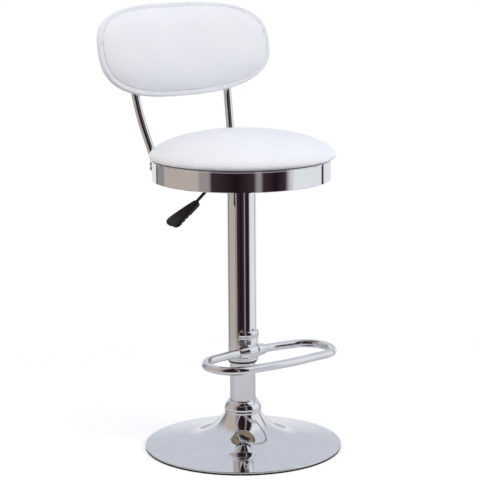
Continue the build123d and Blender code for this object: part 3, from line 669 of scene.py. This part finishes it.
def back_stitches():
    """Short raised threads along the border's seam, each a little askew."""
    seam_length = even_turns(4, STITCH_INSET)[1]
    turns, _ = even_turns(int(seam_length / STITCH_PITCH), STITCH_INSET)
    thread_size = Matrix.Diagonal((STITCH_LENGTH / 2, THREAD_R, THREAD_R, 1))
    step = 0.004
    bm = bmesh.new()
    for t in turns:
        along = (stitch_point(t + step) - stitch_point(t - step)).normalized()
        turn = along.to_track_quat("X", "Z").to_matrix().to_4x4()
        wobble = Matrix.Rotation(RANDOM.uniform(-0.07, 0.07), 4, "Z")
        place_here = Matrix.Translation(stitch_point(t)) @ turn @ wobble @ thread_size
        bmesh.ops.create_uvsphere(bm, u_segments=10, v_segments=6, radius=1, matrix=place_here)
    mesh = bpy.data.meshes.new("back_stitches")
    bm.to_mesh(mesh)
    bm.free()
    threads = smooth(link("back_stitches", mesh))
    finish_of(threads, "vinyl_white", look="thread")
    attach(threads, "seat")


# ------------------------------------------------------------------ base

BASE_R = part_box("base_dish")[1][0]
NECK_R = 33.5 * MM
NECK_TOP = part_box("base_bell")[1][2]
FLARE_R = 112 * MM
FLARE_TOP = 72.5 * MM
FLARE_STEEP = math.radians(60)
FLARE_SHALLOW = math.radians(8.5)
RIM_TOP = 6 * MM
RIM_LOW = 3.5 * MM
RIM_ROUND = 1.2 * MM
SHEET = 1.5 * MM


def base_outline():
    """Outer line of the spun base, from inside the neck to the underside of the rim."""
    centre_r = NECK_R + FLARE_R * math.sin(FLARE_STEEP)
    centre_z = FLARE_TOP + FLARE_R * math.cos(FLARE_STEEP)
    pairs = [(NECK_R - SHEET, NECK_TOP - 2 * MM), (NECK_R - SHEET, NECK_TOP), (NECK_R, NECK_TOP),
             (NECK_R, FLARE_TOP + 3 * MM), (NECK_R, FLARE_TOP)]
    for i in range(1, 61):
        slope = FLARE_STEEP + (FLARE_SHALLOW - FLARE_STEEP) * i / 60
        pairs.append((centre_r - FLARE_R * math.sin(slope), centre_z - FLARE_R * math.cos(slope)))
    start_r, start_z = pairs[-1]
    edge_r = BASE_R - RIM_ROUND
    for i in range(1, 13):
        r = start_r + (edge_r - start_r) * i / 12
        pairs.append((r, start_z + (RIM_TOP - start_z) * (r - start_r) / (BASE_R - start_r)))
    edge_z = pairs[-1][1]
    for i in range(1, 7):
        turn = math.pi / 2 * i / 6
        pairs.append((edge_r + RIM_ROUND * math.sin(turn), edge_z - RIM_ROUND * (1 - math.cos(turn))))
    pairs += [(BASE_R, RIM_LOW), (BASE_R - SHEET, RIM_LOW), (BASE_R - SHEET, RIM_LOW + 1 * MM)]
    return pairs


def spun_base():
    """Bell and dish of the base as one polished skin."""
    base = grid_object("spun_base", turned_rows(base_outline(), 288))
    finish_of(base, "chrome_plate")
    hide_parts("base_bell", "base_dish")
    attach(base, "base")


# ------------------------------------------------------------------ footrest saddle

SADDLE_OUT = 28.5 * MM
SADDLE_Z = 197.3 * MM
SADDLE_R = 12.6 * MM
SADDLE_LENGTH = 24 * MM


def footrest_saddle():
    """The cast bracket, its edges softened as by polishing and its middle filled."""
    source = nodes["footrest_bracket"]
    saddle = link("footrest_saddle", source.data.copy())
    saddle.matrix_world = source.matrix_world.copy()
    core = bmesh.new()
    core.from_mesh(saddle.data)
    middle = Vector((0, -SADDLE_OUT, SADDLE_Z))
    lying = Matrix.Translation(middle) @ Matrix.Rotation(math.pi / 2, 4, "Y")
    bmesh.ops.create_cone(core, cap_ends=True, segments=64, radius1=SADDLE_R, radius2=SADDLE_R,
                          depth=SADDLE_LENGTH, matrix=lying)
    core.to_mesh(saddle.data)
    core.free()
    remesh(saddle, 0.8 * MM)
    soft = saddle.modifiers.new("soft", "SMOOTH")
    soft.factor = 0.5
    soft.iterations = 10
    apply_modifiers(saddle)
    finish_of(saddle, "chrome_trim")
    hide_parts("footrest_bracket")
    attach(saddle, "seat")


# ------------------------------------------------------------------ lever grip

GRIP_TWIST = math.radians(-7)
GRIP_POINTS = 64
GRIP_STATIONS = (
    # share of the length, half width and half thickness in millimetres, drop of the middle in millimetres
    (-0.03, 4.0, 3.6, 0.0), (-0.015, 6.2, 4.8, 0.0), (0.01, 7.8, 5.4, 0.0), (0.08, 9.0, 5.7, 0.0),
    (0.22, 11.0, 5.9, 0.1), (0.38, 13.2, 5.9, 0.2), (0.54, 15.4, 5.9, 0.2), (0.69, 17.4, 5.8, 0.1),
    (0.81, 19.0, 5.6, -0.2), (0.90, 19.2, 5.2, -0.6), (0.96, 17.2, 4.6, -1.0), (0.995, 13.6, 3.8, -1.2),
    (1.012, 9.5, 2.2, -1.3),
)
FINGER_RIDGES = 6.5


def lever_grip():
    """Flat tapered grip: a waist at the rod, a broad end, rounded all over, with finger ridges beneath."""
    inner = Vector((GRIP_HIGH[0] - 1.0 * MM, 0, GRIP_HIGH[2] - 6.0 * MM))
    outer = Vector((GRIP_LOW[0] + 3.5 * MM, 0, GRIP_LOW[2] + 6.5 * MM))
    along = (outer - inner).normalized()
    up = Vector((0, 1, 0)).cross(along)
    if up.z < 0:
        up = -up
    length = (outer - inner).length
    twist = Matrix.Rotation(GRIP_TWIST, 3, along)
    across = twist @ Vector((0, 1, 0))
    lift = twist @ up
    rows = []
    for share, half_w, half_t, drop in GRIP_STATIONS:
        centre = inner + along * (share * length) + up * (drop * MM)
        row = []
        for j in range(GRIP_POINTS):
            angle = 2 * math.pi * j / GRIP_POINTS
            c, s = math.cos(angle), math.sin(angle)
            w = math.copysign(abs(c) ** 0.55, c) * half_w
            t = math.copysign(abs(s) ** 0.62, s) * half_t
            if s > 0:
                t -= 0.9 * (1 - (w / half_w) ** 2) * min(1.0, max(0.0, share * 2))
            row.append(centre + across * (w * MM) + lift * (t * MM))
        rows.append(row)
    grip = grid_object("lever_grip_moulding", rows, cap_ends=True)
    subdivide(grip, 2)
    points = points_of(grip)
    along_axis, across_axis, lift_axis = (np.array(axis) for axis in (along, across, lift))
    local = points - np.array(inner)
    share = local @ along_axis / length
    side = local @ across_axis
    height = local @ lift_axis
    # finger scallops along the front edge and ribs beneath
    reach = np.clip((share - 0.42) / 0.06, 0, 1) * np.clip((0.90 - share) / 0.06, 0, 1)
    wave = 0.5 + 0.5 * np.cos(share * 2 * math.pi * FINGER_RIDGES)
    scallop = 1.5 * MM * wave * reach * (side < -6 * MM) * (height < 1 * MM)
    rib = 0.8 * MM * wave * reach * (height < -2.0 * MM)
    points += across_axis[None, :] * scallop[:, None]
    points += lift_axis[None, :] * rib[:, None]
    # thumb notch in the tip
    notch = 1.8 * MM * np.exp(-((side + 3 * MM) / (2.2 * MM)) ** 2) * np.clip((share - 0.93) / 0.05, 0, 1)
    points -= along_axis[None, :] * notch[:, None]
    set_points(grip, points)
    finish_of(grip, "grip_plastic")
    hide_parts("lever_grip")
    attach(grip, "lever")


# ------------------------------------------------------------------ stage

# the camera stands to the front right of the sitter, a little above the back pad: angles in radians,
# distances in metres, the lens in millimetres
CAMERA_TURN = math.radians(37.0)
CAMERA_SIDE = math.atan2(-math.cos(CAMERA_TURN), -math.sin(CAMERA_TURN))
CAMERA_FAR = 3.463
CAMERA_HIGH = 1.077
CAMERA_AIM = 0.001
CAMERA_DOWN = 0.1896
CAMERA_ROLL = -0.0071
CAMERA_LENS = 136.87


def make_camera():
    """Long-lens camera, tipped down and rolled a trace."""
    camera = bpy.data.objects.new("camera", bpy.data.cameras.new("camera"))
    bpy.context.scene.collection.objects.link(camera)
    camera.data.sensor_width = 36
    camera.data.lens = CAMERA_LENS
    camera.data.clip_end = 100
    spot = Vector((-CAMERA_FAR * math.sin(CAMERA_TURN), -CAMERA_FAR * math.cos(CAMERA_TURN), CAMERA_HIGH))
    turn = (Matrix.Rotation(CAMERA_AIM - CAMERA_TURN, 4, "Z")
            @ Matrix.Rotation(math.pi / 2 - CAMERA_DOWN, 4, "X")
            @ Matrix.Rotation(CAMERA_ROLL, 4, "Z"))
    camera.matrix_world = Matrix.Translation(spot) @ turn
    bpy.context.scene.camera = camera


FLOOR_Z = -0.0002
FLOOR_RINGS = (0.002, 0.2, 0.5, 0.8, 1.1, 1.5, 2.0)
FLOOR_FADE = (0.55, 1.0)
FLOOR_GLOW = 0.52


def make_floor():
    """Pale round floor that fades out at its rim."""
    floor = grid_object("floor", turned_rows([(r, FLOOR_Z) for r in FLOOR_RINGS], 96))
    mat = material("floor_paper", (0.60, 0.60, 0.62), 0.9, specular=0.1)
    tint(mat, noise(mat, 5, detail=3), (0.59, 0.59, 0.61), (0.61, 0.61, 0.63))
    relief(mat, (noise(mat, 500, detail=2), 0.05, 0.05 * MM))
    shader = mat.node_tree.nodes["Principled BSDF"]
    shader.inputs["Emission Color"].default_value = (1, 1, 1, 1)
    # the camera sees the paper lit up to white, and the stool gets no light from that
    tree = mat.node_tree
    path = tree.nodes.new("ShaderNodeLightPath")
    lift = tree.nodes.new("ShaderNodeMath")
    lift.operation = "MULTIPLY"
    lift.inputs[1].default_value = FLOOR_GLOW
    tree.links.new(path.outputs["Is Camera Ray"], lift.inputs[0])
    tree.links.new(lift.outputs["Value"], shader.inputs["Emission Strength"])
    coords = tree.nodes.new("ShaderNodeTexCoord")
    size = tree.nodes.new("ShaderNodeVectorMath")
    size.operation = "LENGTH"
    tree.links.new(coords.outputs["Object"], size.inputs[0])
    fade = tree.nodes.new("ShaderNodeMapRange")
    fade.interpolation_type = "SMOOTHSTEP"
    fade.inputs["From Min"].default_value, fade.inputs["From Max"].default_value = FLOOR_FADE
    tree.links.new(size.outputs["Value"], fade.inputs["Value"])
    clear = tree.nodes.new("ShaderNodeBsdfTransparent")
    mix = tree.nodes.new("ShaderNodeMixShader")
    output = tree.nodes["Material Output"]
    tree.links.new(fade.outputs["Result"], mix.inputs["Fac"])
    tree.links.new(tree.nodes["Principled BSDF"].outputs["BSDF"], mix.inputs[1])
    tree.links.new(clear.outputs["BSDF"], mix.inputs[2])
    tree.links.new(mix.outputs["Shader"], output.inputs["Surface"])
    floor.data.materials.append(mat)


# the room round the stool, as seen in the chrome
WHITE = (0.80, 0.82, 0.85)
BEIGE = (0.50, 0.43, 0.39)
DARK = (0.012, 0.007, 0.010)
GREY = (0.30, 0.28, 0.29)
TAUPE = (0.33, 0.29, 0.28)
PLUM = (0.045, 0.028, 0.036)
SILVER = (0.55, 0.55, 0.58)
CEILING = (0.60, 0.63, 0.70)
CEILING_FROM = (0.84, 1.0)
CEILING_LEAN = 0.8
ROOM = (
    # angle in degrees to the right of the camera's side, and colour
    (-180, WHITE), (-142, WHITE), (-141, DARK), (-138, DARK), (-137, GREY), (-118, GREY), (-116, BEIGE),
    (-58, BEIGE), (-54, TAUPE), (-42, TAUPE), (-38, PLUM), (-6, DARK), (16, PLUM), (20, GREY), (24, GREY),
    (28, PLUM), (44, DARK), (58, PLUM), (64, SILVER), (72, WHITE), (124, WHITE), (126, DARK), (130, DARK),
    (132, WHITE), (180, WHITE),
)


def ramp_of(tree, stops, value):
    """Colour ramp through (position, colour) stops."""
    ramp = tree.nodes.new("ShaderNodeValToRGB")
    elements = ramp.color_ramp.elements
    while len(elements) > 1:
        elements.remove(elements[-1])
    for index, (position, color) in enumerate(stops):
        element = elements[0] if index == 0 else elements.new(position)
        element.position = position
        element.color = (*color, 1)
    tree.links.new(value, ramp.inputs["Fac"])
    return ramp.outputs["Color"]


def make_world():
    """White studio: plain for the camera, but chrome mirrors a room of coloured walls and pale ceiling."""
    world = bpy.data.worlds.new("studio")
    bpy.context.scene.world = world
    world.use_nodes = True
    tree = world.node_tree
    background = tree.nodes["Background"]
    coords = tree.nodes.new("ShaderNodeTexCoord")
    turn = tree.nodes.new("ShaderNodeMapping")
    turn.inputs["Rotation"].default_value = (0, 0, -CAMERA_SIDE)
    tree.links.new(coords.outputs["Generated"], turn.inputs["Vector"])
    round_about = tree.nodes.new("ShaderNodeTexGradient")
    round_about.gradient_type = "RADIAL"
    tree.links.new(turn.outputs["Vector"], round_about.inputs["Vector"])
    walls = ramp_of(tree, [((a + 180) / 360, c) for a, c in ROOM], round_about.outputs["Fac"])
    # the ceiling begins high up on the stool's front side and low down behind it
    lean = tree.nodes.new("ShaderNodeVectorMath")
    lean.operation = "DOT_PRODUCT"
    lean.inputs[1].default_value = (-CEILING_LEAN * math.cos(CAMERA_SIDE),
                                    -CEILING_LEAN * math.sin(CAMERA_SIDE), 1.0)
    tree.links.new(coords.outputs["Generated"], lean.inputs[0])
    height = tree.nodes.new("ShaderNodeMapRange")
    height.inputs["From Min"].default_value, height.inputs["From Max"].default_value = CEILING_FROM
    tree.links.new(lean.outputs["Value"], height.inputs["Value"])
    mix = tree.nodes.new("ShaderNodeMix")
    mix.data_type = "RGBA"
    tree.links.new(height.outputs["Result"], mix.inputs["Factor"])
    tree.links.new(walls, mix.inputs[6])
    mix.inputs[7].default_value = (*CEILING, 1)
    tree.links.new(mix.outputs[2], background.inputs["Color"])
    background.inputs["Strength"].default_value = 1.0
    plain = tree.nodes.new("ShaderNodeBackground")
    plain.inputs["Color"].default_value = (1, 1, 1, 1)
    path = tree.nodes.new("ShaderNodeLightPath")
    chooser = tree.nodes.new("ShaderNodeMixShader")
    tree.links.new(path.outputs["Is Camera Ray"], chooser.inputs["Fac"])
    tree.links.new(background.outputs["Background"], chooser.inputs[1])
    tree.links.new(plain.outputs["Background"], chooser.inputs[2])
    tree.links.new(chooser.outputs["Shader"], tree.nodes["World Output"].inputs["Surface"])


LIGHTS = (
    # name, degrees to the right of the camera's side, height, distance, width, power
    ("top", 20, 2.6, 0.6, 1.8, 17),
    ("right", 60, 1.5, 2.4, 1.4, 28),
    ("left", -50, 1.3, 2.5, 1.4, 28),
)
LIGHT_AIM = Vector((0, 0, 0.55))


def area_light(name, turn, height, distance, width, power):
    """Soft square light, aimed at the seat and hidden from reflections."""
    light = bpy.data.objects.new(name, bpy.data.lights.new(name, "AREA"))
    bpy.context.scene.collection.objects.link(light)
    light.data.shape = "SQUARE"
    light.data.size = width
    light.data.energy = power
    light.visible_glossy = False
    angle = CAMERA_SIDE + math.radians(turn)
    spot = Vector((distance * math.cos(angle), distance * math.sin(angle), height))
    facing = (LIGHT_AIM - spot).to_track_quat("-Z", "Y").to_matrix().to_4x4()
    light.matrix_world = Matrix.Translation(spot) @ facing


# ------------------------------------------------------------------ the scene

make_camera()
make_world()
for light in LIGHTS:
    area_light(*light)
make_floor()
paint_cad_nodes()
seat_cushion()
back_crown()
back_rim()
back_rear_panel()
back_stitches()
lever_grip()
spun_base()
footrest_saddle()

bpy.context.scene.view_settings.view_transform = "Standard"
